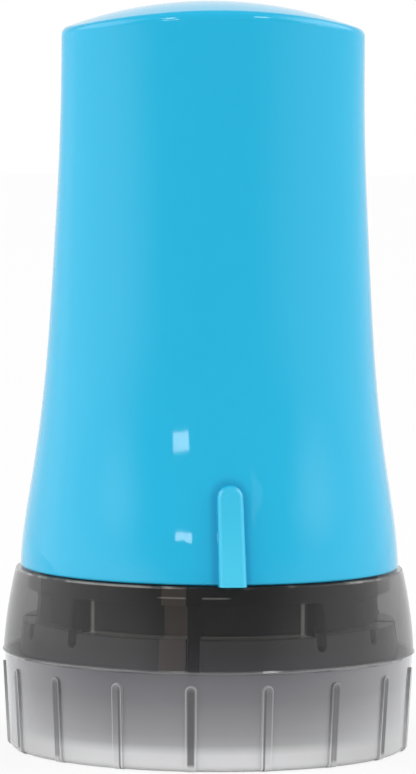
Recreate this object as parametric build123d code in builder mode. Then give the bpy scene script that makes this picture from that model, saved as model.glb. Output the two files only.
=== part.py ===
from build123d import *
from math import asin, cos, radians, sin, sqrt
import os

os.makedirs("parts", exist_ok=True)

# A self-inking privacy roller stamp, standing on its cap, in millimetres.
# +Z is up, the origin is the middle of the cap's foot, the front is -Y,
# and the stamp drum turns on an axle along X.

# Driving sizes of the outside
seam_height = 16.75
seam_gap = 0.12
crown_height = 69.0
crown_radius = 38.0
foot_radius = 17.5
top_half_width = 13.85
top_half_depth = 8.4
shoulder_fillet = 0.85
housing_wall = 1.6
foot_edge_fillet = 0.2

# Driving sizes of the cap
rim_step = 0.4
ridge_flare = 1.2
base_taper = 0.7
ridge_height = 9.0
ridge_lip = 0.2
upper_band_bulge = 0.12
cap_wall = 1.3
cap_floor = 1.3
foot_recess_depth = 0.4
foot_ring_width = 4.9
foot_round = 0.5
cap_rim_fillet = 0.2
cap_turn = -11.3

# Driving sizes of the inside
neck_gap = 1.0
neck_wall = 1.4
well_room = 2.85
well_wall = 1.0
cheek_wall = 1.0
deck_thickness = 1.4
deck_drop_share = 0.6
floor_to_drum = 1.5
drum_reach = 3.29
ink_radius = 4.5
ink_gap = 0.15
roof_clearance = 0.4
roof_thickness = 0.8

# Clearances, and the overrun of every cut
running_clearance = 0.05
sliding_clearance = 0.15
seat_clearance = 0.05
overrun = 1.0

# Heights and radii that follow from the sizes above
cap_rim_radius = foot_radius + rim_step
ridge_radius = cap_rim_radius + ridge_flare
cap_base_radius = ridge_radius - base_taper
foot_recess_radius = cap_base_radius - foot_ring_width
neck_radius = cap_rim_radius - cap_wall - neck_gap
cap_height = seam_height - seam_gap
housing_height = crown_height - seam_height
floor_top = foot_recess_depth + cap_floor
deck_height = seam_height - deck_drop_share * deck_thickness
drum_radius = (deck_height + drum_reach - floor_top - floor_to_drum) / 2
drum_height = floor_top + floor_to_drum + drum_radius
ink_height = drum_height + drum_radius + ink_gap + ink_radius
cartridge_top = ink_height + ink_radius + roof_clearance + roof_thickness
well_half_width = neck_radius - neck_wall - well_room - well_wall
cheek_outside = well_half_width - sliding_clearance
inner_width = 2 * (cheek_outside - cheek_wall)
wall_under_ridge = ridge_radius - ridge_lip

# The bell: how high each section stands, and how much of the flare from the
# flat oval top to the round foot is left there, in width and in depth
section_height_shares = (0, 0.108, 0.252, 0.445, 0.657, 0.83, 1.04)
width_flare_shares = (1, 0.84, 0.538, 0.298, 0.135, 0.06, 0)
depth_flare_shares = (1, 0.845, 0.59, 0.35, 0.18, 0.08, 0)


def bell_sections(inset):
    """Height, half width and half depth of each oval, moved in by a wall."""
    for height, width, depth in zip(
        section_height_shares, width_flare_shares, depth_flare_shares
    ):
        yield (
            seam_height + height * housing_height,
            top_half_width + width * (foot_radius - top_half_width) - inset,
            top_half_depth + depth * (foot_radius - top_half_depth) - inset,
        )


def bell_half_depth(height):
    """Half depth of the outside at a height, straight between two sections."""
    sections = list(bell_sections(0))
    for low, high in zip(sections, sections[1:]):
        if low[0] <= height <= high[0]:
            share = (height - low[0]) / (high[0] - low[0])
            return low[2] + share * (high[2] - low[2])
    return sections[-1][2]


def dome_line(radius, foot):
    """Half an outline round Z: a domed top about the crown's centre, down to a foot."""
    reach = foot_radius + overrun
    centre = crown_height - crown_radius
    half_turn = asin(reach / radius) / 2
    side = centre + sqrt(radius**2 - reach**2)
    ThreePointArc(
        (0, centre + radius),
        (radius * sin(half_turn), centre + radius * cos(half_turn)),
        (reach, side),
    )
    Polyline((reach, side), (reach, foot), (0, foot), (0, centre + radius))


def round_plane(turn, radius=0):
    """A plane that faces outwards at an angle from the front, Z up in it."""
    across, along = cos(radians(turn)), sin(radians(turn))
    return Plane(origin=(0, 0, 0), x_dir=(across, along, 0), z_dir=(along, -across, 0)).offset(radius)


# The direction rib on the front of the housing: a straight-faced rib with a
# round top and a little draft, cut off level with the foot of the housing.
rib_foot_width = 2.57
rib_top_width = 2.37
rib_rise = 8.9
rib_foot_proud = 1.5
rib_top_proud = 1.05
rib_edge_fillet = 0.5
rib_bottom = seam_height
rib_top = seam_height + rib_rise
rib_foot_face = foot_radius + rib_foot_proud
rib_top_face = bell_half_depth(rib_top) + rib_top_proud
rib_lean = (rib_foot_face - rib_top_face) / rib_rise

with BuildPart() as direction_rib:
    with BuildSketch(Plane.YZ):
        with BuildLine():
            Polyline(
                (0, rib_bottom),
                (-rib_foot_face, rib_bottom),
                (rib_lean * overrun - rib_top_face, rib_top + overrun),
                (0, rib_top + overrun),
                close=True,
            )
        make_face()
    extrude(amount=rib_foot_width / 2, both=True)
    with BuildSketch(Plane.XZ):
        with BuildLine():
            rib_shoulder = rib_top - rib_top_width / 2
            Polyline(
                (-rib_top_width / 2, rib_shoulder),
                (-rib_foot_width / 2, rib_bottom),
                (rib_foot_width / 2, rib_bottom),
                (rib_top_width / 2, rib_shoulder),
            )
            ThreePointArc(
                (rib_top_width / 2, rib_shoulder), (0, rib_top), (-rib_top_width / 2, rib_shoulder)
            )
        make_face()
    extrude(amount=rib_foot_face + overrun, mode=Mode.INTERSECT)
    rib_face = direction_rib.faces().filter_by(GeomType.PLANE).sort_by(Axis.Y)[0]
    rib_foot_edge = rib_face.edges().sort_by(Axis.Z)[0]
    fillet(rib_face.edges() - ShapeList([rib_foot_edge]), radius=rib_edge_fillet)

# The socket in the foot of the housing, and the hollow above it
socket_radius = neck_radius + seat_clearance
socket_depth = 4.4
groove_depth = 0.4
groove_width = 1.2
groove_rise = 2.6
key_width = 1.8
key_reach = 0.6
groove_height = seam_height + groove_rise
hollow_foot = seam_height + socket_depth

with BuildPart() as housing_hollow:
    for height, half_width, half_depth in bell_sections(housing_wall):
        with BuildSketch(Plane.XY.offset(height)):
            Ellipse(half_width, half_depth)
    loft()
    with BuildSketch(Plane.XZ):
        with BuildLine():
            dome_line(crown_radius - housing_wall, hollow_foot)
        make_face()
    revolve(axis=Axis.Z, mode=Mode.INTERSECT)

# The housing: one moulded shell. A round socket in its foot takes the neck,
# with a groove for the snap beads and a key at the back.
with BuildPart() as housing:
    for height, half_width, half_depth in bell_sections(0):
        with BuildSketch(Plane.XY.offset(height)):
            Ellipse(half_width, half_depth)
    loft()
    with BuildSketch(Plane.XZ):
        with BuildLine():
            dome_line(crown_radius, seam_height)
        make_face()
    revolve(axis=Axis.Z, mode=Mode.INTERSECT)
    fillet(housing.faces().sort_by(Axis.Z)[-1].edges(), radius=shoulder_fillet)
    fillet(housing.faces().sort_by(Axis.Z)[0].edges(), radius=foot_edge_fillet)
    add(direction_rib.part)
    add(housing_hollow.part, mode=Mode.SUBTRACT)
    with BuildSketch(Plane.XY.offset(seam_height - overrun)):
        Circle(socket_radius)
    extrude(amount=overrun + socket_depth, mode=Mode.SUBTRACT)
    with BuildSketch(Plane.XY.offset(groove_height)):
        Circle(socket_radius + groove_depth)
        Circle(socket_radius - overrun, mode=Mode.SUBTRACT)
    extrude(amount=groove_width, mode=Mode.SUBTRACT)
    with BuildSketch(Plane.XY.offset(seam_height)):
        with Locations((0, socket_radius - key_reach)):
            Rectangle(key_width, key_reach + groove_depth,
                      align=(Align.CENTER, Align.MIN))
    extrude(amount=socket_depth)
housing.part.label = "housing"
export_step(housing.part, "parts/housing.step")

# The chassis: the dark inner frame. Its round neck sits in the housing and
# carries the cap, and its square well holds the ink cartridge.
neck_reach = 5.0
neck_lead_in = 0.4
drum_side_clearance = 0.3
cartridge_half_depth = sqrt(drum_radius**2 - (deck_height - drum_height) ** 2) + drum_side_clearance
well_corner = 1.2
well_half_depth = cartridge_half_depth + sliding_clearance
well_top = cartridge_top + sliding_clearance
neck_bottom = seam_height - neck_reach
neck_top = seam_height + socket_depth - seat_clearance
bead_height = 0.3
bead_width = groove_width - 2 * sliding_clearance
bead_length = 9.0
gusset_width = 1.0
gusset_spread = 5.0
latch_width = 4.0
latch_size = 1.6
latch_reach = 0.6
latch_above_ink = 2.4
latch_height = ink_height + latch_above_ink

with BuildPart() as chassis:
    with BuildSketch(Plane.XY.offset(neck_bottom)):
        Circle(neck_radius)
        Circle(neck_radius - neck_wall, mode=Mode.SUBTRACT)
    extrude(amount=neck_top - neck_bottom)
    chamfer(chassis.edges().filter_by(GeomType.CIRCLE).group_by(Axis.Z)[0].sort_by(SortBy.RADIUS)[-1],
            length=neck_lead_in)
    with BuildSketch(Plane.XY.offset(deck_height)):
        Circle(neck_radius - neck_wall / 2)
    extrude(amount=deck_thickness)
    with BuildSketch(Plane.XY.offset(deck_height)):
        RectangleRounded(2 * (well_half_width + well_wall), 2 * (well_half_depth + well_wall), well_corner)
    extrude(amount=well_top + well_wall - deck_height)
    with BuildSketch(Plane.YZ):
        with BuildLine():
            gusset_foot = deck_height + deck_thickness
            Polyline(
                (-neck_radius + neck_wall / 2, deck_height),
                (-neck_radius + neck_wall / 2, gusset_foot + neck_wall),
                (-well_half_depth, neck_top),
                (well_half_depth, neck_top),
                (neck_radius - neck_wall / 2, gusset_foot + neck_wall),
                (neck_radius - neck_wall / 2, deck_height),
                close=True,
            )
        make_face()
    extrude(amount=gusset_width / 2, both=True)
    with BuildSketch(Plane.XY.offset(deck_height - overrun)):
        Rectangle(2 * well_half_width, 2 * well_half_depth)
    extrude(amount=well_top - deck_height + overrun, mode=Mode.SUBTRACT)
    with BuildSketch(Plane.YZ):
        with Locations((0, latch_height)):
            Rectangle(latch_width + 2 * sliding_clearance, latch_size + 2 * sliding_clearance)
    extrude(amount=well_half_width + well_wall + overrun, both=True, mode=Mode.SUBTRACT)
    with BuildSketch(Plane.XY.offset(groove_height + sliding_clearance)):
        Circle(neck_radius + bead_height)
        Circle(neck_radius - neck_wall / 2, mode=Mode.SUBTRACT)
        Rectangle(2 * (neck_radius + overrun), bead_length, mode=Mode.INTERSECT)
    extrude(amount=bead_width)
    with BuildSketch(Plane.XY.offset(seam_height - seat_clearance)):
        with Locations((0, neck_radius - key_reach - sliding_clearance)):
            Rectangle(key_width + 2 * sliding_clearance, neck_wall + overrun,
                      align=(Align.CENTER, Align.MIN))
    extrude(amount=socket_depth + overrun, mode=Mode.SUBTRACT)
chassis.part.label = "chassis"
export_step(chassis.part, "parts/chassis.step")

# The cap: one translucent moulding with a sharp ridge round its widest line,
# a plain cone above it and a band of round-topped grip ribs below it.
arc_share = 1 - sqrt(1 / 2)
grip_rib_count = 17
grip_rib_width = 0.95
grip_rib_proud = 0.22
grip_rib_drop = 1.2
grip_rib_top = ridge_height - grip_rib_drop
grip_radius = neck_radius + running_clearance
pad_drop = 1.83
pad_length = 3.0
pad_high = cap_height - pad_drop
pad_low = pad_high - pad_length
front_pad_half_arc = 41.0
side_pad_half_arc = 25.0
pad_half_arcs = (front_pad_half_arc, side_pad_half_arc, front_pad_half_arc, side_pad_half_arc)
gap_half_arc = (90 - front_pad_half_arc - side_pad_half_arc) / 2
gap_turn = front_pad_half_arc + gap_half_arc
gap_width = 2 * grip_radius * sin(radians(gap_half_arc))
bar_width = 1.1
bar_reach = 1.4
bar_low = pad_low - bar_reach
long_bar_width = 1.25
long_bar_drop = 1.5
long_bar_low = ridge_height - long_bar_drop
quadrants = (0, 90, 180, 270)

with BuildPart() as grip_ribs:
    with BuildSketch(*(
        round_plane(cap_turn + turn * 360 / grip_rib_count, cap_base_radius - cap_wall / 2)
        for turn in range(grip_rib_count)
    )):
        with Locations((0, grip_rib_top)):
            SlotOverall(2 * grip_rib_top + grip_rib_width, grip_rib_width, rotation=90,
                        align=(Align.MAX, Align.CENTER))
    extrude(amount=cap_wall + overrun)
    with BuildSketch(Plane.XZ):
        with BuildLine():
            ThreePointArc(
                (cap_base_radius + grip_rib_proud - foot_round, 0),
                (cap_base_radius + grip_rib_proud - arc_share * foot_round, arc_share * foot_round),
                (cap_base_radius + grip_rib_proud, foot_round),
            )
            Polyline(
                (cap_base_radius + grip_rib_proud, foot_round),
                (wall_under_ridge + grip_rib_proud, ridge_height),
                (cap_base_radius - cap_wall, ridge_height),
                (cap_base_radius - cap_wall, 0),
                (cap_base_radius + grip_rib_proud - foot_round, 0),
            )
        make_face()
    revolve(axis=Axis.Z, mode=Mode.INTERSECT)

with BuildPart() as cap_grips:
    with BuildSketch(*(
        round_plane(cap_turn + quadrant + side * half_arc, grip_radius)
        for quadrant, half_arc in zip(quadrants, pad_half_arcs) for side in (-1, 1)
    )):
        with Locations((0, pad_high)):
            SlotOverall(pad_high - bar_low, bar_width, rotation=90, align=(Align.MAX, Align.CENTER))
    with BuildSketch(*(round_plane(cap_turn + quadrant, grip_radius) for quadrant in quadrants)):
        with Locations((0, pad_high)):
            SlotOverall(pad_high - long_bar_low, long_bar_width, rotation=90,
                        align=(Align.MAX, Align.CENTER))
    extrude(amount=cap_wall + overrun)
    with BuildSketch(Plane.XY.offset(pad_low)):
        Circle(cap_rim_radius)
        Circle(grip_radius, mode=Mode.SUBTRACT)
        for turn in (gap_turn, 180 - gap_turn, 180 + gap_turn, -gap_turn):
            with PolarLocations(grip_radius, 1, start_angle=cap_turn - 90 + turn):
                Rectangle(2 * cap_wall + overrun, gap_width, mode=Mode.SUBTRACT)
    extrude(amount=pad_high - pad_low)
    with BuildSketch(Plane.XZ):
        with BuildLine():
            Polyline(
                (grip_radius, long_bar_low - overrun),
                (wall_under_ridge - cap_wall / 2, long_bar_low - overrun),
                (wall_under_ridge - cap_wall / 2, ridge_height),
                (cap_rim_radius - cap_wall / 2, cap_height),
                (grip_radius, cap_height),
                close=True,
            )
        make_face()
    revolve(axis=Axis.Z, mode=Mode.INTERSECT)

with BuildPart() as cap:
    with BuildSketch(Plane.XZ) as cap_profile:
        with BuildLine():
            band_foot = ridge_height + ridge_lip
            Polyline(
                (0, foot_recess_depth),
                (foot_recess_radius, foot_recess_depth),
                (foot_recess_radius, 0),
                (cap_base_radius - foot_round, 0),
            )
            ThreePointArc(
                (cap_base_radius - foot_round, 0),
                (cap_base_radius - arc_share * foot_round, arc_share * foot_round),
                (cap_base_radius, foot_round),
            )
            Polyline(
                (cap_base_radius, foot_round),
                (wall_under_ridge, ridge_height - ridge_lip),
                (ridge_radius, ridge_height),
                (ridge_radius - ridge_lip / 2, band_foot),
            )
            ThreePointArc(
                (ridge_radius - ridge_lip / 2, band_foot),
                ((ridge_radius + cap_rim_radius) / 2 + upper_band_bulge, (band_foot + cap_height) / 2),
                (cap_rim_radius, cap_height),
            )
            Polyline(
                (cap_rim_radius, cap_height),
                (cap_rim_radius - cap_wall, cap_height),
                (wall_under_ridge - cap_wall, ridge_height),
                (cap_base_radius - cap_wall, floor_top),
                (0, floor_top),
                (0, foot_recess_depth),
            )
        make_face()
        fillet(cap_profile.vertices().group_by(Axis.Y)[-1], radius=cap_rim_fillet)
    revolve(axis=Axis.Z)
    add(grip_ribs.part)
    add(cap_grips.part)
cap.part.label = "cap"
export_step(cap.part, "parts/cap.step")

# The cartridge frame: one cheek, a roof and two cross bars in one moulding.
# Nubs on both cheeks snap into the windows of the well.
cheek_reach = 4.9
cheek_bottom = drum_height - cheek_reach
cheek_bottom_round = 4.2
axle_radius = 1.0
ink_axle_radius = 0.8
cross_bar_clearance = 0.4
cross_bar_height = 2.7
cross_bar_low = drum_height + drum_radius + cross_bar_clearance
cross_bar_high = cross_bar_low + cross_bar_height
cross_bar_depth = 1.1
tenon_depth = 0.6
pull_rib_count = 3
pull_rib_pitch = 1.3
pull_rib_size = 0.5
pull_rib_length = 6.0
pull_rib_drop = 0.95
pull_rib_height = deck_height - pull_rib_drop

with BuildPart() as cheek:
    with BuildSketch(Plane.YZ.offset(inner_width / 2)):
        with Locations((0, cheek_bottom)):
            Rectangle(2 * cartridge_half_depth, cartridge_top - cheek_bottom,
                      align=(Align.CENTER, Align.MIN))
    extrude(amount=cheek_wall)
    cheek_corners = cheek.edges().filter_by(Axis.X).group_by(Axis.Z)[0]
    fillet(cheek_corners, radius=cheek_bottom_round)
    with BuildSketch(Plane.YZ.offset(inner_width / 2 - overrun)):
        with Locations((0, drum_height)):
            Circle(axle_radius + seat_clearance)
        with Locations((0, ink_height)):
            Circle(ink_axle_radius + seat_clearance)
    extrude(amount=cheek_wall + 2 * overrun, mode=Mode.SUBTRACT)
    with BuildSketch(Plane.YZ.offset(cheek_outside)):
        with Locations(*(
            (0, pull_rib_height - turn * pull_rib_pitch) for turn in range(pull_rib_count)
        )):
            Rectangle(pull_rib_length, pull_rib_size)
    extrude(amount=pull_rib_size)
    with BuildSketch(Plane.XZ):
        with BuildLine():
            Polyline(
                (cheek_outside - cheek_wall / 2, latch_height - latch_size / 2),
                (cheek_outside + latch_reach, latch_height - latch_size / 2),
                (cheek_outside, latch_height + latch_size / 2),
                (cheek_outside - cheek_wall / 2, latch_height + latch_size / 2),
                close=True,
            )
        make_face()
    extrude(amount=latch_width / 2, both=True)

with BuildPart() as cartridge_frame:
    add(mirror(cheek.part, about=Plane.YZ))
    with BuildSketch(Plane.YZ.offset(-inner_width / 2)):
        with Locations((0, cartridge_top)):
            Rectangle(2 * cartridge_half_depth, roof_thickness, align=(Align.CENTER, Align.MAX))
        with Locations((0, cross_bar_low)):
            Rectangle(2 * cartridge_half_depth, cross_bar_high - cross_bar_low,
                      align=(Align.CENTER, Align.MIN))
            Rectangle(2 * (cartridge_half_depth - cross_bar_depth), cross_bar_high - cross_bar_low,
                      align=(Align.CENTER, Align.MIN), mode=Mode.SUBTRACT)
    extrude(amount=inner_width)
    with BuildSketch(Plane.YZ.offset(inner_width / 2)):
        with Locations(
            (cartridge_half_depth - cross_bar_depth, (cross_bar_low + cross_bar_high) / 2),
            (cross_bar_depth - cartridge_half_depth, (cross_bar_low + cross_bar_high) / 2),
        ):
            Rectangle(tenon_depth, (cross_bar_high - cross_bar_low) / 2)
    extrude(amount=cheek_wall)
cartridge_frame.part.label = "cartridge_frame"
export_step(cartridge_frame.part, "parts/cartridge_frame.step")

# The side plate: the second cheek, which closes the frame on two tenons
with BuildPart() as cartridge_side_plate:
    add(cheek.part)
    with BuildSketch(Plane.YZ.offset(inner_width / 2 - overrun)):
        with Locations(
            (cartridge_half_depth - cross_bar_depth, (cross_bar_low + cross_bar_high) / 2),
            (cross_bar_depth - cartridge_half_depth, (cross_bar_low + cross_bar_high) / 2),
        ):
            Rectangle(tenon_depth + 2 * seat_clearance,
                      (cross_bar_high - cross_bar_low) / 2 + 2 * seat_clearance)
    extrude(amount=cheek_wall + 2 * overrun, mode=Mode.SUBTRACT)
cartridge_side_plate.part.label = "cartridge_side_plate"
export_step(cartridge_side_plate.part, "parts/cartridge_side_plate.step")

# The drum axle: a turned steel pin held in the cheeks
axle_chamfer = 0.2
drum_axis = Plane.YZ.offset(-cheek_outside)

with BuildPart() as drum_axle:
    with BuildSketch(drum_axis):
        with Locations((0, drum_height)):
            Circle(axle_radius)
    extrude(amount=2 * cheek_outside)
    chamfer(drum_axle.edges().filter_by(GeomType.CIRCLE), length=axle_chamfer)
drum_axle.part.label = "drum_axle"
export_step(drum_axle.part, "parts/drum_axle.step")

# The drum core: a spool with a hub, a web with spokes and a rim that carries
# the printing sleeve
wheel_width = 1.5
core_half_width = inner_width / 2 - wheel_width - 2 * sliding_clearance
print_relief = 0.65
sleeve_base = 0.95
sleeve_base_radius = drum_radius - print_relief
core_radius = sleeve_base_radius - sleeve_base
core_rim_wall = 1.2
hub_radius = 2.4
web_thickness = 1.2
spoke_count = 6
spoke_width = 1.0
bore_radius = axle_radius + running_clearance
spigot_length = 0.8
spigot_radius = core_radius - core_rim_wall - seat_clearance
spigot_wall = 0.9

with BuildPart() as drum_core:
    with BuildSketch(Plane.YZ.offset(-core_half_width)):
        with Locations((0, drum_height)):
            Circle(core_radius)
            Circle(core_radius - core_rim_wall, mode=Mode.SUBTRACT)
            Circle(hub_radius)
            Circle(bore_radius, mode=Mode.SUBTRACT)
    extrude(amount=2 * core_half_width)
    spoke_half_width = core_half_width - spigot_length - seat_clearance
    with BuildSketch(Plane.YZ.offset(-spoke_half_width)):
        with Locations((0, drum_height)):
            with PolarLocations((hub_radius + core_radius - core_rim_wall) / 2, spoke_count):
                Rectangle(core_radius - core_rim_wall - hub_radius + spoke_width, spoke_width)
    extrude(amount=2 * spoke_half_width)
    with BuildSketch(Plane.YZ.offset(-web_thickness / 2)):
        with Locations((0, drum_height)):
            Circle(core_radius - core_rim_wall / 2)
            Circle(bore_radius, mode=Mode.SUBTRACT)
    extrude(amount=web_thickness)
drum_core.part.label = "drum_core"
export_step(drum_core.part, "parts/drum_core.step")

# The printing sleeve: rubber, with staggered rows of raised pads
print_row_count = 5
print_row_pads = 14
print_edge = 0.525
print_row_pitch = 2 * (core_half_width - print_edge) / print_row_count
print_pad_width = 1.7
print_pad_length = 1.9

with BuildPart() as stamp_sleeve:
    for row in range(print_row_count):
        row_place = (row - (print_row_count - 1) / 2) * print_row_pitch
        pad_turn = 360 / print_row_pads
        with BuildSketch(*(
            Plane(origin=(row_place, 0, drum_height), x_dir=(1, 0, 0),
                  z_dir=(0, cos(radians(turn)), sin(radians(turn)))).offset(core_radius + overrun / 2)
            for turn in (pad_turn * (pad + row % 2 / 2) for pad in range(print_row_pads))
        )):
            RectangleRounded(print_pad_width, print_pad_length, print_pad_width / 4)
        extrude(amount=drum_radius - core_radius)
    with BuildSketch(Plane.YZ.offset(-core_half_width)):
        with Locations((0, drum_height)):
            Circle(drum_radius)
    extrude(amount=2 * core_half_width, mode=Mode.INTERSECT)
    with BuildSketch(Plane.YZ.offset(-core_half_width)):
        with Locations((0, drum_height)):
            Circle(sleeve_base_radius)
    extrude(amount=2 * core_half_width)
    with BuildSketch(Plane.YZ.offset(-core_half_width - overrun)):
        with Locations((0, drum_height)):
            Circle(core_radius)
    extrude(amount=2 * (core_half_width + overrun), mode=Mode.SUBTRACT)
stamp_sleeve.part.label = "stamp_sleeve"
export_step(stamp_sleeve.part, "parts/stamp_sleeve.step")

# The drum wheels close both ends of the drum. Each has a spigot in the rim
# of the core, a boss against the cheek and a seat for a rubber tyre.
tyre_thickness = 1.1
wheel_side_drop = 0.5
wheel_seat_radius = drum_radius - tyre_thickness
wheel_side_radius = drum_radius - wheel_side_drop
wheel_side_width = 0.35
boss_radius = 2.0

with BuildPart() as drum_wheel_right:
    with BuildSketch(Plane.XZ):
        with BuildLine():
            wheel_out = core_half_width + wheel_width
            Polyline(
                (core_half_width, drum_height + bore_radius),
                (core_half_width, drum_height + spigot_radius - spigot_wall),
                (core_half_width - spigot_length, drum_height + spigot_radius - spigot_wall),
                (core_half_width - spigot_length, drum_height + spigot_radius),
                (core_half_width, drum_height + spigot_radius),
                (core_half_width, drum_height + wheel_seat_radius),
                (wheel_out - wheel_side_width, drum_height + wheel_seat_radius),
                (wheel_out - wheel_side_width, drum_height + wheel_side_radius),
                (wheel_out, drum_height + wheel_side_radius),
                (wheel_out, drum_height + boss_radius),
                (wheel_out + sliding_clearance, drum_height + boss_radius),
                (wheel_out + sliding_clearance, drum_height + bore_radius),
                close=True,
            )
        make_face()
    revolve(axis=Axis((0, 0, drum_height), (1, 0, 0)))
drum_wheel_right.part.label = "drum_wheel_right"
export_step(drum_wheel_right.part, "parts/drum_wheel_right.step")

with BuildPart() as drum_wheel_left:
    add(mirror(drum_wheel_right.part, about=Plane.YZ))
drum_wheel_left.part.label = "drum_wheel_left"
export_step(drum_wheel_left.part, "parts/drum_wheel_left.step")

# The drum tyres: rubber rings that drive the drum over the paper
tyre_edge = 0.25

with BuildPart() as drum_tyre_right:
    with BuildSketch(Plane.YZ.offset(core_half_width)):
        with Locations((0, drum_height)):
            Circle(drum_radius)
            Circle(wheel_seat_radius, mode=Mode.SUBTRACT)
    extrude(amount=wheel_width - wheel_side_width)
    fillet(drum_tyre_right.edges().filter_by(GeomType.CIRCLE).sort_by(SortBy.RADIUS)[-2:], radius=tyre_edge)
drum_tyre_right.part.label = "drum_tyre_right"
export_step(drum_tyre_right.part, "parts/drum_tyre_right.step")

with BuildPart() as drum_tyre_left:
    add(mirror(drum_tyre_right.part, about=Plane.YZ))
drum_tyre_left.part.label = "drum_tyre_left"
export_step(drum_tyre_left.part, "parts/drum_tyre_left.step")

# The ink axle: a thinner pin above the drum
with BuildPart() as ink_axle:
    with BuildSketch(drum_axis):
        with Locations((0, ink_height)):
            Circle(ink_axle_radius)
    extrude(amount=2 * cheek_outside)
    chamfer(ink_axle.edges().filter_by(GeomType.CIRCLE), length=axle_chamfer)
ink_axle.part.label = "ink_axle"
export_step(ink_axle.part, "parts/ink_axle.step")

# The ink bobbin: a tube with one moulded flange
ink_half_width = inner_width / 2 - sliding_clearance
bobbin_radius = 2.4
flange_thickness = 0.7
flange_drop = 0.5
flange_radius = ink_radius - flange_drop
ink_bore_radius = ink_axle_radius + running_clearance

with BuildPart() as ink_bobbin:
    with BuildSketch(Plane.XZ):
        with BuildLine():
            Polyline(
                (-ink_half_width, ink_height + ink_bore_radius),
                (-ink_half_width, ink_height + flange_radius),
                (-ink_half_width + flange_thickness, ink_height + flange_radius),
                (-ink_half_width + flange_thickness, ink_height + bobbin_radius),
                (ink_half_width, ink_height + bobbin_radius),
                (ink_half_width, ink_height + ink_bore_radius),
                close=True,
            )
        make_face()
    revolve(axis=Axis((0, 0, ink_height), (1, 0, 0)))
ink_bobbin.part.label = "ink_bobbin"
export_step(ink_bobbin.part, "parts/ink_bobbin.step")

# The loose flange, pushed on the other end of the bobbin
with BuildPart() as ink_flange:
    with BuildSketch(Plane.YZ.offset(ink_half_width - flange_thickness)):
        with Locations((0, ink_height)):
            Circle(flange_radius)
            Circle(bobbin_radius + seat_clearance, mode=Mode.SUBTRACT)
    extrude(amount=flange_thickness)
ink_flange.part.label = "ink_flange"
export_step(ink_flange.part, "parts/ink_flange.step")

# The foam roller that holds the ink, between the two flanges
foam_edge = 0.3

with BuildPart() as ink_foam:
    with BuildSketch(Plane.YZ.offset(flange_thickness - ink_half_width + seat_clearance)):
        with Locations((0, ink_height)):
            Circle(ink_radius)
            Circle(bobbin_radius + seat_clearance, mode=Mode.SUBTRACT)
    extrude(amount=2 * (ink_half_width - flange_thickness - seat_clearance))
    fillet(ink_foam.edges().filter_by(GeomType.CIRCLE).group_by(SortBy.RADIUS)[-1], radius=foam_edge)
ink_foam.part.label = "ink_foam"
export_step(ink_foam.part, "parts/ink_foam.step")
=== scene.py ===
import math

import bpy
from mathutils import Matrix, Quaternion, Vector

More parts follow.
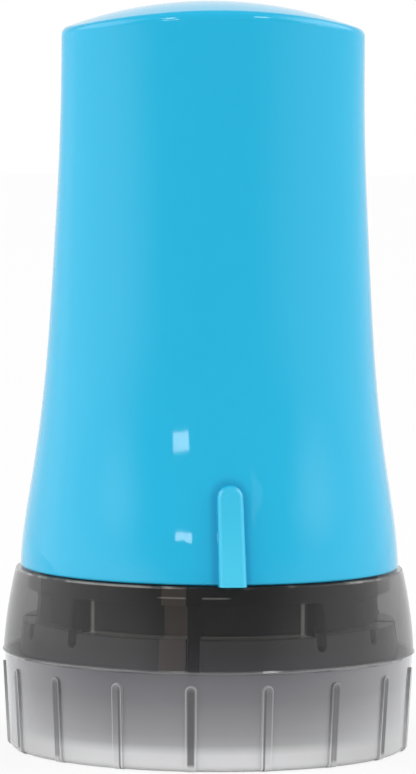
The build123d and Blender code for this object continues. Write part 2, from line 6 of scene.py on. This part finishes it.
# The stamp as it comes from the workshop: every piece in its place, standing
# on the foot of its cap, with the direction rib to the front.
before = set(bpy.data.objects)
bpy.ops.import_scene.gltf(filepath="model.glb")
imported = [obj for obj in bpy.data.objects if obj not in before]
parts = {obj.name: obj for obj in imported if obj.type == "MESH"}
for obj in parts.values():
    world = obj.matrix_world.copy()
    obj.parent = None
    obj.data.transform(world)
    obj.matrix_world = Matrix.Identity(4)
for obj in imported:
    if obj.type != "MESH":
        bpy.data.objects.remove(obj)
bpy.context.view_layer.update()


# The housing: the grip, one injection moulding in high gloss sky blue ABS. It
# snaps onto the neck of the chassis, and its skin shows faint flow and the
# finest waviness of a polished mould. Its colour also holds painted shade
# around the direction rib and painted light on the rib's face.
class Signal:
    """One value inside a material, so that shader maths reads as plain maths."""

    def __init__(self, tree, socket=None):
        self.tree = tree
        self.socket = socket

    def node(self, kind, settings=None, feeds=None, output=0):
        made = self.tree.nodes.new(kind)
        for name, value in (settings or {}).items():
            if name == "stops":
                ramp = made.color_ramp
                while len(ramp.elements) < len(value):
                    ramp.elements.new(0.5)
                for stop, (place, level) in zip(ramp.elements, value):
                    colour = level if isinstance(level, tuple) else (level, level, level)
                    stop.position = place
                    stop.color = (*colour, 1.0)
            else:
                setattr(made, name, value)
        for name, value in (feeds or {}).items():
            if isinstance(value, Signal):
                self.tree.links.new(value.socket, made.inputs[name])
            else:
                made.inputs[name].default_value = value
        return Signal(self.tree, made.outputs[output])

    def maths(self, operation, *values):
        return self.node("ShaderNodeMath", {"operation": operation}, dict(enumerate(values)))

    def __add__(self, other):
        return self.maths("ADD", self, other)

    def __radd__(self, other):
        return self.maths("ADD", other, self)

    def __sub__(self, other):
        return self.maths("SUBTRACT", self, other)

    def __rsub__(self, other):
        return self.maths("SUBTRACT", other, self)

    def __mul__(self, other):
        return self.maths("MULTIPLY", self, other)

    def __rmul__(self, other):
        return self.maths("MULTIPLY", other, self)

    def __truediv__(self, other):
        return self.maths("DIVIDE", self, other)

    def __lt__(self, other):
        return self.maths("LESS_THAN", self, other)

    def soft(self, low, high):
        """Rises smoothly from 0 to 1 as this value goes from low to high."""
        return self.node(
            "ShaderNodeMapRange",
            {"interpolation_type": "SMOOTHSTEP"},
            {"Value": self, "From Min": low, "From Max": high},
        )

    def grain(self, size, detail=2.0, stretch=None):
        """Fine noise in the object's own metres, with cells of about that size."""
        at = self.place()
        if stretch:
            at = self.node("ShaderNodeMapping", None, {"Vector": at, "Scale": stretch})
        return self.node(
            "ShaderNodeTexNoise", None, {"Vector": at, "Scale": 1 / size, "Detail": detail}
        )

    def place(self):
        return self.node("ShaderNodeTexCoord", output="Object")

    def axes(self):
        split = self.tree.nodes.new("ShaderNodeSeparateXYZ")
        self.tree.links.new(self.place().socket, split.inputs[0])
        return [Signal(self.tree, socket) for socket in split.outputs]

    def tint(self, share, first, second):
        """A colour between two others."""
        mixed = {}
        for name, colour in (("A", first), ("B", second)):
            mixed[name] = colour if isinstance(colour, Signal) else (*colour, 1.0)
        made = self.tree.nodes.new("ShaderNodeMix")
        made.data_type = "RGBA"
        sockets = {s.name: s for s in made.inputs if s.type == "RGBA"}
        for name, colour in mixed.items():
            if isinstance(colour, Signal):
                self.tree.links.new(colour.socket, sockets[name])
            else:
                sockets[name].default_value = colour
        if isinstance(share, Signal):
            self.tree.links.new(share.socket, made.inputs[0])
        else:
            made.inputs[0].default_value = share
        out = next(s for s in made.outputs if s.type == "RGBA")
        return Signal(self.tree, out)

    def relief(self, height, depth, strength=1.0):
        """A bump of that many metres, ready for a shader's Normal."""
        return self.node(
            "ShaderNodeBump", None, {"Height": height, "Distance": depth, "Strength": strength}
        )


def finish_of(name):
    """A new material with one plain plastic shader in it."""
    made = bpy.data.materials.new(name)
    made.use_nodes = True
    return made, made.node_tree.nodes["Principled BSDF"], Signal(made.node_tree)


def give(shader, **looks):
    """Sets or links the sockets of a shader: base_color is its Base Color."""
    for key, value in looks.items():
        socket = shader.inputs[key.replace("_", " ").title().replace("Ior", "IOR")]
        if isinstance(value, Signal):
            socket.id_data.links.new(value.socket, socket)
        elif isinstance(value, tuple):
            socket.default_value = (*value, 1.0)
        else:
            socket.default_value = value


def dress(material, *names):
    """Gives a finish to CAD pieces that keep their own shape."""
    for name in names:
        slots = parts[name].data.materials
        slots.clear()
        slots.append(material)


sky_blue, shader, value = finish_of("sky_blue_gloss")
rib_half_width = 0.001275
rib_foot = 0.01675
rib_rise = 0.0089
front_limit = -0.004
flow = value.grain(0.011, 3.0, (1.0, 1.0, 0.35))
haze = value.grain(0.0009, 3.0)
x, y, z = value.axes()
above_round = value.maths("MAXIMUM", z - (rib_foot + rib_rise - rib_half_width), 0.0)
from_rib = value.maths("SQRT", x * x + above_round * above_round) - rib_half_width
front = y < front_limit
# Painted shade: a darker ring of blue around the direction rib, where shade falls at its foot.
rib_foot_painted_shade = front * from_rib.soft(-0.0002, 0.0) * (1 - from_rib.soft(0.0001, 0.0008))
# Painted light: the rib's face lighter than the body, most at its foot, as light falls on it.
rib_face_painted_light = front * (1 - from_rib.soft(-0.0003, 0.0))
rib_face_painted_light = rib_face_painted_light * (1.0 - z.soft(rib_foot - 0.001, rib_foot + rib_rise) * 0.5)
clean_blue = value.tint(flow, (0.011, 0.462, 0.742), (0.013, 0.482, 0.762))
give(
    shader,
    base_color=value.tint(
        rib_foot_painted_shade * 0.55,
        value.tint(rib_face_painted_light, clean_blue, (0.070, 0.615, 0.865)),
        (0.006, 0.310, 0.560),
    ),
    roughness=0.028 + haze * 0.014,
    normal=value.relief(value.grain(0.006, 1.0), 0.00002, 0.15),
    ior=1.49,
)
dress(sky_blue, "housing")

# The chassis: the inner frame, one dark moulding with a fine eroded texture.
# The cap grips its round neck, and the cartridge hangs in its square well.
dark_satin, shader, value = finish_of("chassis_dark_satin")
erosion = value.grain(0.00016, 4.0)
give(
    shader,
    base_color=value.tint(value.grain(0.003), (0.022, 0.022, 0.024), (0.034, 0.034, 0.037)),
    roughness=0.42 + erosion * 0.16,
    normal=value.relief(erosion, 0.00003, 0.6),
)
dress(dark_satin, "chassis")

# The cap: one smoke grey see-through moulding that the stamp stands on. Its
# walls are painted dark over the neck and pale at the foot: painted shade and
# painted light for the light that comes in through the wall at the foot. Its
# inner bars, grip ribs, ridge and rim also carry painted shade and painted
# highlights.
ridge_height = 0.0090
ridge_radius = 0.0191
cap_height = 0.01663
pad_foot = 0.0118
grip_rib_pitch = 360 / 17
grip_rib_top = 0.0078
grip_rib_half_width = 0.000475
cap_turn = -11.3
cap_floor = 0.0017
inner_ridge_radius = 0.0176
inner_foot_radius = 0.0171
upper_wall_slope = 0.132
lower_wall_slope = 0.0685
upper_line_height = 0.0155
tone_height = 0.0169
walls_start = 0.004
walls_full = 0.005
# The inner bars are painted near black: painted shade for how dark they look through the wall.
bars_at_degrees = ((0, 2.2), (41, 1.9), (65, 1.9), (90, 2.2))
# Places of the streaks, which are painted highlights on the inner pads.
streaks_at_degrees = (37.6, 61.6)
smoke, shader, value = finish_of("cap_smoke_clear")
x, y, z = value.axes()
radius = value.maths("SQRT", x * x + y * y)
inner_wall = value.maths(
    "MINIMUM",
    inner_ridge_radius - (z - ridge_height) * upper_wall_slope,
    inner_foot_radius + (z - cap_floor) * lower_wall_slope,
)
outer_skin = radius.soft(inner_wall + 0.0005, inner_wall + 0.0008)
above_floor = z.soft(walls_start, walls_full)
grips = above_floor * (1 - radius.soft(inner_wall - 0.0004, inner_wall - 0.0002))
lower_band = 1 - z.soft(ridge_height - 0.0001, ridge_height + 0.0001)

around = value.maths("DEGREES", value.maths("ARCTAN2", y, x)) + (90 - cap_turn)
around = value.maths("WRAP", around, 180.0, -180.0)
to_quarter = 90 - value.maths("ABSOLUTE", 90 - value.maths("ABSOLUTE", around))
bars = 0.0
glint_streaks = 0.0
for bar_place, half_width in bars_at_degrees:
    off_bar = value.maths("ABSOLUTE", to_quarter - bar_place)
    bars = bars + (1 - off_bar.soft(half_width - 0.3, half_width + 0.3))
for streak_place in streaks_at_degrees:
    off_streak = value.maths("ABSOLUTE", to_quarter - streak_place)
    glint_streaks = glint_streaks + (1 - off_streak.soft(0.4, 1.1))
bars = bars * grips
pads = grips * (1 - bars)
glint_streaks = glint_streaks * pads
pad_edge_painted_light = pads * (1 - z.soft(pad_foot + 0.0001, pad_foot + 0.0002))
panel = around.soft(-10.4, -9.9) * (1 - around.soft(-2.6, -2.0)) * (1 - outer_skin) * above_floor
off_line = value.maths("ABSOLUTE", z - upper_line_height)
upper_painted_highlight_line = (1 - off_line.soft(0.00004, 0.00011)) * (1 - outer_skin)
upper_painted_highlight_line = upper_painted_highlight_line * to_quarter.soft(2.2, 3.0) * (1 - to_quarter.soft(9.0, 13.0))

off_rib = value.maths("FRACT", around / grip_rib_pitch + 0.5) - 0.5
across = off_rib * radius * math.radians(grip_rib_pitch)
above_round = value.maths("MAXIMUM", z - (grip_rib_top - grip_rib_half_width), 0.0)
from_rib = value.maths("SQRT", across * across + above_round * above_round)
on_band = outer_skin * lower_band
facing = 1 - to_quarter.soft(22.0, 40.0)
flanked = to_quarter.soft(10.0, 16.0) * (1 - to_quarter.soft(30.0, 50.0))
grip_rib_painted_shade = on_band * (1 - from_rib.soft(0.00022, 0.00042)) * z.soft(0.0003, 0.0008)
grip_rib_painted_shade = grip_rib_painted_shade * (0.85 - flanked * 0.75)
grip_rib_painted_highlight = on_band * from_rib.soft(0.00036, 0.00044) * (1 - from_rib.soft(0.0005, 0.0006))
grip_rib_painted_highlight = grip_rib_painted_highlight * facing
towards_middle = across * value.maths("SIGN", around) + 0.00024
grip_rib_flank_painted_shade = on_band * (1 - value.maths("ABSOLUTE", towards_middle).soft(0.00005, 0.00014))
grip_rib_flank_painted_shade = grip_rib_flank_painted_shade * flanked * (1 - z.soft(grip_rib_top - 0.0004, grip_rib_top - 0.0002))
ridge_painted_highlight = radius.soft(ridge_radius - 0.0001, ridge_radius - 0.00004)
rim_painted_highlight = outer_skin * z.soft(cap_height - 0.00024, cap_height - 0.00014)
rim_painted_highlight = rim_painted_highlight * value.grain(0.003).soft(0.42, 0.62)
# The outer skin's tones by height are painted shade and painted light: dark over the neck, pale at
# the foot, where light comes in through the wall.
outer_painted_tones = value.node(
    "ShaderNodeValToRGB",
    {"stops": [
        (0.000, (0.68, 0.68, 0.68)), (0.037, (0.81, 0.81, 0.82)), (0.090, (0.76, 0.76, 0.77)),
        (0.112, (0.62, 0.62, 0.63)), (0.143, (0.400, 0.398, 0.408)), (0.196, (0.312, 0.308, 0.322)),
        (0.276, (0.256, 0.250, 0.266)), (0.382, (0.180, 0.175, 0.190)),
        (0.488, (0.135, 0.130, 0.144)), (0.530, (0.120, 0.115, 0.130)),
        (0.536, (0.044, 0.042, 0.048)), (0.640, (0.022, 0.021, 0.024)),
        (0.760, (0.013, 0.013, 0.013)), (1.000, (0.010, 0.010, 0.009)),
    ]},
    {"Fac": z / tone_height},
)
# Paler tones for the sides of the cap: painted light through the wall.
side_painted_tones = value.node(
    "ShaderNodeValToRGB",
    {"stops": [
        (0.000, (0.52, 0.52, 0.52)), (0.036, (0.56, 0.56, 0.565)), (0.089, (0.55, 0.55, 0.555)),
        (0.172, (0.475, 0.473, 0.481)), (0.278, (0.375, 0.370, 0.382)),
        (0.385, (0.295, 0.290, 0.304)), (0.530, (0.270, 0.264, 0.280)),
        (0.536, (0.050, 0.049, 0.053)), (0.760, (0.036, 0.035, 0.037)),
        (1.000, (0.034, 0.033, 0.034)),
    ]},
    {"Fac": z / tone_height},
)
outer_painted_tones = value.tint(to_quarter.soft(18.0, 70.0), outer_painted_tones, side_painted_tones)
# Painted light: the upper band paler towards its edges.
painted_edge_light = to_quarter.soft(46.0, 80.0) * (1 - lower_band)
outer_painted_tones = value.tint(painted_edge_light * 0.45, outer_painted_tones, (0.22, 0.215, 0.22))
# Painted shade in the cores of the grip ribs, strongest on the ribs that face forward.
outer_painted_tones = value.tint(grip_rib_painted_shade, outer_painted_tones, (0.055, 0.053, 0.058))
# Painted highlight: a light outline round the grip ribs that face forward.
outer_painted_tones = value.tint(grip_rib_painted_highlight * 0.32, outer_painted_tones, (0.85, 0.85, 0.85))
# Painted shade on one flank of the grip ribs beside the front.
outer_painted_tones = value.tint(grip_rib_flank_painted_shade * 0.7, outer_painted_tones, (0.060, 0.058, 0.062))
# Painted highlight along the ridge.
outer_painted_tones = value.tint(ridge_painted_highlight * 0.25, outer_painted_tones, (0.55, 0.55, 0.55))
# Painted highlight along the rim, broken by noise.
outer_painted_tones = value.tint(rim_painted_highlight * 0.6, outer_painted_tones, (0.55, 0.53, 0.50))
# The inner skin's tones by height are painted light and painted shade too: pale at the foot, dark
# over the neck.
inner_painted_tones = value.node(
    "ShaderNodeValToRGB",
    {"stops": [
        (0.000, 0.62), (0.112, 0.60), (0.142, 0.40), (0.278, 0.27), (0.491, 0.20), (0.690, 0.19),
        (0.700, 0.05), (1.000, 0.04),
    ]},
    {"Fac": z / tone_height},
)
# Painted light: the inner skin paler towards the sides.
inner_side_painted_light = to_quarter.soft(20.0, 60.0) * above_floor
inner_painted_tones = value.tint(inner_side_painted_light, inner_painted_tones, (0.26, 0.255, 0.26))
inner_painted_tones = value.tint(panel * 0.6, inner_painted_tones, (0.40, 0.31, 0.27))
hazy_inside = (1 - outer_skin) * (1 - z.soft(pad_foot, pad_foot + 0.0003)) * (1 - bars)
# The inner bars painted near black: painted shade.
inner_painted_tones = value.tint(bars, inner_painted_tones, (0.004, 0.004, 0.005))
# Painted highlights: two light streaks on the inner pads.
inner_painted_tones = value.tint(glint_streaks, inner_painted_tones, (0.85, 0.86, 0.74))
# Painted light on the lower edge of the inner pads.
inner_painted_tones = value.tint(pad_edge_painted_light * 0.45, inner_painted_tones, (0.80, 0.82, 0.72))
# A thin line of painted highlight on the inner wall, near the top.
inner_painted_tones = value.tint(upper_painted_highlight_line, inner_painted_tones, (0.80, 0.78, 0.70))
give(
    shader,
    base_color=value.tint(outer_skin, inner_painted_tones, outer_painted_tones),
    alpha=0.5 + outer_skin * (lower_band * 0.26 + 0.12 + to_quarter.soft(45.0, 80.0) * 0.12)
    + hazy_inside * 0.4 + bars * 0.5 + (glint_streaks + panel + upper_painted_highlight_line) * 0.4,
    roughness=0.08 + value.grain(0.0008, 3.0) * 0.05,
    normal=value.relief(value.grain(0.0035, 1.0), 0.00002, 0.2),
    ior=1.5,
    coat_weight=on_band * 0.7,
    coat_roughness=0.05,
)
dress(smoke, "cap")

# The cartridge: a frame of one cheek, roof and cross bars, and a side plate
# that closes it. Both are plain dark grey mouldings with a satin skin.
cartridge_grey, shader, value = finish_of("cartridge_grey_satin")
erosion = value.grain(0.0002, 3.0)
give(
    shader,
    base_color=value.tint(value.grain(0.002), (0.052, 0.052, 0.055), (0.072, 0.072, 0.076)),
    roughness=0.38 + erosion * 0.15,
    normal=value.relief(erosion, 0.00003, 0.5),
)
dress(cartridge_grey, "cartridge_frame", "cartridge_side_plate")

# The axles: turned steel pins for the drum and the ink roller, with the fine
# rings that the tool leaves.
turned_steel, shader, value = finish_of("turned_steel")
rings = value.grain(0.00012, 2.0, (1.0, 0.02, 0.02))
give(
    shader,
    base_color=value.tint(rings, (0.50, 0.50, 0.52), (0.68, 0.68, 0.70)),
    metallic=1.0,
    roughness=0.24 + rings * 0.18,
    normal=value.relief(rings, 0.00001, 0.5),
)
dress(turned_steel, "drum_axle", "ink_axle")

# The white mouldings: the spool of the drum, its two wheels, and the bobbin
# and loose flange of the ink roller, with a little ink on them from use.
natural_white, shader, value = finish_of("spool_white")
ink_specks = value.grain(0.0016, 5.0).soft(0.66, 0.74)
give(
    shader,
    base_color=value.tint(
        ink_specks * 0.7,
        value.tint(value.grain(0.004), (0.70, 0.70, 0.67), (0.78, 0.78, 0.76)),
        (0.03, 0.03, 0.045),
    ),
    roughness=0.36 + value.grain(0.0006) * 0.12,
)
dress(
    natural_white,
    "drum_core", "drum_wheel_left", "drum_wheel_right", "ink_bobbin", "ink_flange",
)

# The tyres: two black rubber rings, pushed into their seats at the ends of
# the drum, which drive it over the paper.
tyre_black, shader, value = finish_of("tyre_rubber")
tread = value.grain(0.00022, 4.0)
give(
    shader,
    base_color=value.tint(value.grain(0.0012), (0.020, 0.020, 0.021), (0.036, 0.036, 0.037)),
    roughness=0.62 + tread * 0.2,
    normal=value.relief(tread, 0.00004, 0.8),
)
dress(tyre_black, "drum_tyre_left", "drum_tyre_right")

# The printing sleeve: red-brown rubber on the spool, moulded with staggered
# rows of raised pads whose tops carry the ink.
drum_height = 0.0112
ink_starts_radius = 0.00765
ink_full_radius = 0.00785
sleeve_rubber, shader, value = finish_of("sleeve_rubber")
x, y, z = value.axes()
rise = z - drum_height
reach = value.maths("SQRT", y * y + rise * rise)
inked = reach.soft(ink_starts_radius, ink_full_radius)
mottle = value.grain(0.0007, 4.0)
bare_rubber = value.tint(mottle, (0.20, 0.052, 0.040), (0.27, 0.075, 0.058))
give(
    shader,
    base_color=value.tint(inked * (0.86 + mottle * 0.14), bare_rubber, (0.010, 0.010, 0.014)),
    roughness=0.66 - inked * 0.34 + mottle * 0.08,
    normal=value.relief(value.grain(0.00018, 3.0), 0.00003, 0.7),
)
dress(sleeve_rubber, "stamp_sleeve")

# The ink roller's foam: an open-cell sleeve between the two flanges, soaked
# with black ink.
foam_cells_per_metre = 2600.0
ink_foam, shader, value = finish_of("foam_ink_soaked")
cells = value.node(
    "ShaderNodeTexVoronoi", None, {"Vector": value.place(), "Scale": foam_cells_per_metre}
)
give(
    shader,
    base_color=value.tint(cells, (0.006, 0.006, 0.009), (0.030, 0.030, 0.038)),
    roughness=0.34 + cells * 0.5,
    normal=value.relief(1 - cells, 0.00012, 0.9),
)
dress(ink_foam, "ink_foam")

# The studio floor: a wide matt white sheet, on which only the soft shadow of
# the stamp shows. It lies a hair under the foot, so that they don't flicker.
floor_size = 3.0
floor_drop = 0.00005
floor_glow = 0.82
bpy.ops.object.select_all(action="DESELECT")
bpy.ops.mesh.primitive_grid_add(
    x_subdivisions=4, y_subdivisions=4, size=floor_size, location=(0, 0, -floor_drop)
)
floor = bpy.context.object
floor.name = "studio_floor"
sheet_white, shader, value = finish_of("studio_sheet")
give(shader, base_color=(0.9, 0.9, 0.9), roughness=0.9, specular_ior_level=0.0)
light_path = sheet_white.node_tree.nodes.new("ShaderNodeLightPath")
glow = sheet_white.node_tree.nodes.new("ShaderNodeEmission")
blend = sheet_white.node_tree.nodes.new("ShaderNodeMixShader")
ends = sheet_white.node_tree.nodes["Material Output"]
seen = Signal(sheet_white.node_tree, light_path.outputs["Is Camera Ray"])
share = seen * floor_glow
sheet_white.node_tree.links.new(share.socket, blend.inputs[0])
sheet_white.node_tree.links.new(shader.outputs[0], blend.inputs[1])
sheet_white.node_tree.links.new(glow.outputs[0], blend.inputs[2])
sheet_white.node_tree.links.new(blend.outputs[0], ends.inputs[0])
floor.data.materials.append(sheet_white)

# The studio light: a white tent with soft boxes high at its sides, and two
# windows and two skylights in its front. The camera, clear plastic and gloss
# that mirrors the back see plain white.
cloth_level = 0.41
left_box_level = 2.45
right_box_level = 2.75
tent = bpy.data.worlds.new("studio_tent")
bpy.context.scene.world = tent
tent.use_nodes = True
sky = tent.node_tree.nodes["Background"]
value = Signal(tent.node_tree)
direction = tent.node_tree.nodes.new("ShaderNodeSeparateXYZ")
tent.node_tree.links.new(
    value.node("ShaderNodeTexCoord", output="Generated").socket, direction.inputs[0]
)
to_side, to_back, upward = [Signal(tent.node_tree, s) for s in direction.outputs]
low = 1 - upward.soft(0.15, 0.4)
box_height = upward.soft(0.2, 0.5)
box_width = 1 - value.maths("ABSOLUTE", to_back).soft(0.3, 0.7)
left = 0 - to_side
left_box = left.soft(0.35, 0.75) * box_height * box_width
right_box = to_side.soft(0.35, 0.75) * box_height * box_width
cloth = cloth_level + low * (
    left.soft(0.38, 0.9) * 0.95 + to_side.soft(0.3, 0.85) * 0.58 + to_back.soft(0.3, 0.9) * 0.15
)
level = cloth + left_box * left_box_level + right_box * right_box_level
path = tent.node_tree.nodes.new("ShaderNodeLightPath")
camera_ray = Signal(tent.node_tree, path.outputs["Is Camera Ray"])
mirrored = Signal(tent.node_tree, path.outputs["Is Glossy Ray"])
through = Signal(tent.node_tree, path.outputs["Is Transmission Ray"])
plain = value.maths("MAXIMUM", camera_ray, through)
plain = value.maths("MAXIMUM", plain, mirrored * to_back.soft(0.45, 0.95))
strength = plain + (1 - plain) * level
tent.node_tree.links.new(strength.socket, sky.inputs["Strength"])
sky.inputs["Color"].default_value = (1.0, 1.0, 1.0, 1.0)
window_distance = 1.2
window_tilt = math.radians(5)
for name, turn, rise, turn_span, rise_span, brightness in (
    ("window_left", -21.5, 26.4, 9, 1.8, 6.5),
    ("window_right", 26, 29.5, 7, 1.4, 0.5),
    ("skylight_left", -27, 40, 8, 8, 10.0),
    ("skylight_right", 34, 44, 8, 8, 11.0),
):
    lamp_data = bpy.data.lights.new(name, "AREA")
    lamp_data.shape = "RECTANGLE"
    lamp_data.size = 2 * window_distance * math.tan(math.radians(turn_span / 2))
    lamp_data.size_y = 2 * window_distance * math.tan(math.radians(rise_span / 2))
    lamp_data.energy = brightness * math.pi * lamp_data.size * lamp_data.size_y
    lamp = bpy.data.objects.new(name, lamp_data)
    bpy.context.scene.collection.objects.link(lamp)
    turn, rise = math.radians(turn), math.radians(rise)
    towards = Vector(
        (math.sin(turn) * math.cos(rise), -math.cos(turn) * math.cos(rise), math.sin(rise))
    )
    lamp.location = towards * window_distance
    lamp.rotation_mode = "QUATERNION"
    lamp.rotation_quaternion = towards.to_track_quat("Z", "Y") @ Quaternion((0, 0, 1), window_tilt)

# The camera: a long lens half a metre away, a little above the crown, turned
# so that the direction rib stands just right of the middle.
camera_turn = math.radians(6.6)
camera_distance = 0.513
camera_height = 0.071
aim_height = 0.03332
aim_side = -0.00025
picture_height = 0.0716
lean = math.radians(0.45)
lens_data = bpy.data.cameras.new("studio_camera")
camera = bpy.data.objects.new("studio_camera", lens_data)
bpy.context.scene.collection.objects.link(camera)
back = Vector((-math.sin(camera_turn), -math.cos(camera_turn), 0))
right = Vector((math.cos(camera_turn), -math.sin(camera_turn), 0))
camera.location = back * camera_distance + Vector((0, 0, camera_height))
aim = right * aim_side + Vector((0, 0, aim_height))
camera.rotation_mode = "QUATERNION"
looking = (aim - camera.location).to_track_quat("-Z", "Y")
camera.rotation_quaternion = looking @ Quaternion((0, 0, 1), lean)
aim_distance = (aim - camera.location).length
lens_data.sensor_width = 36.0
lens_data.lens = 36.0 * aim_distance / picture_height
lens_data.clip_start = 0.01
lens_data.clip_end = 20.0
bpy.context.scene.camera = camera

bpy.context.scene.view_settings.view_transform = "Standard"
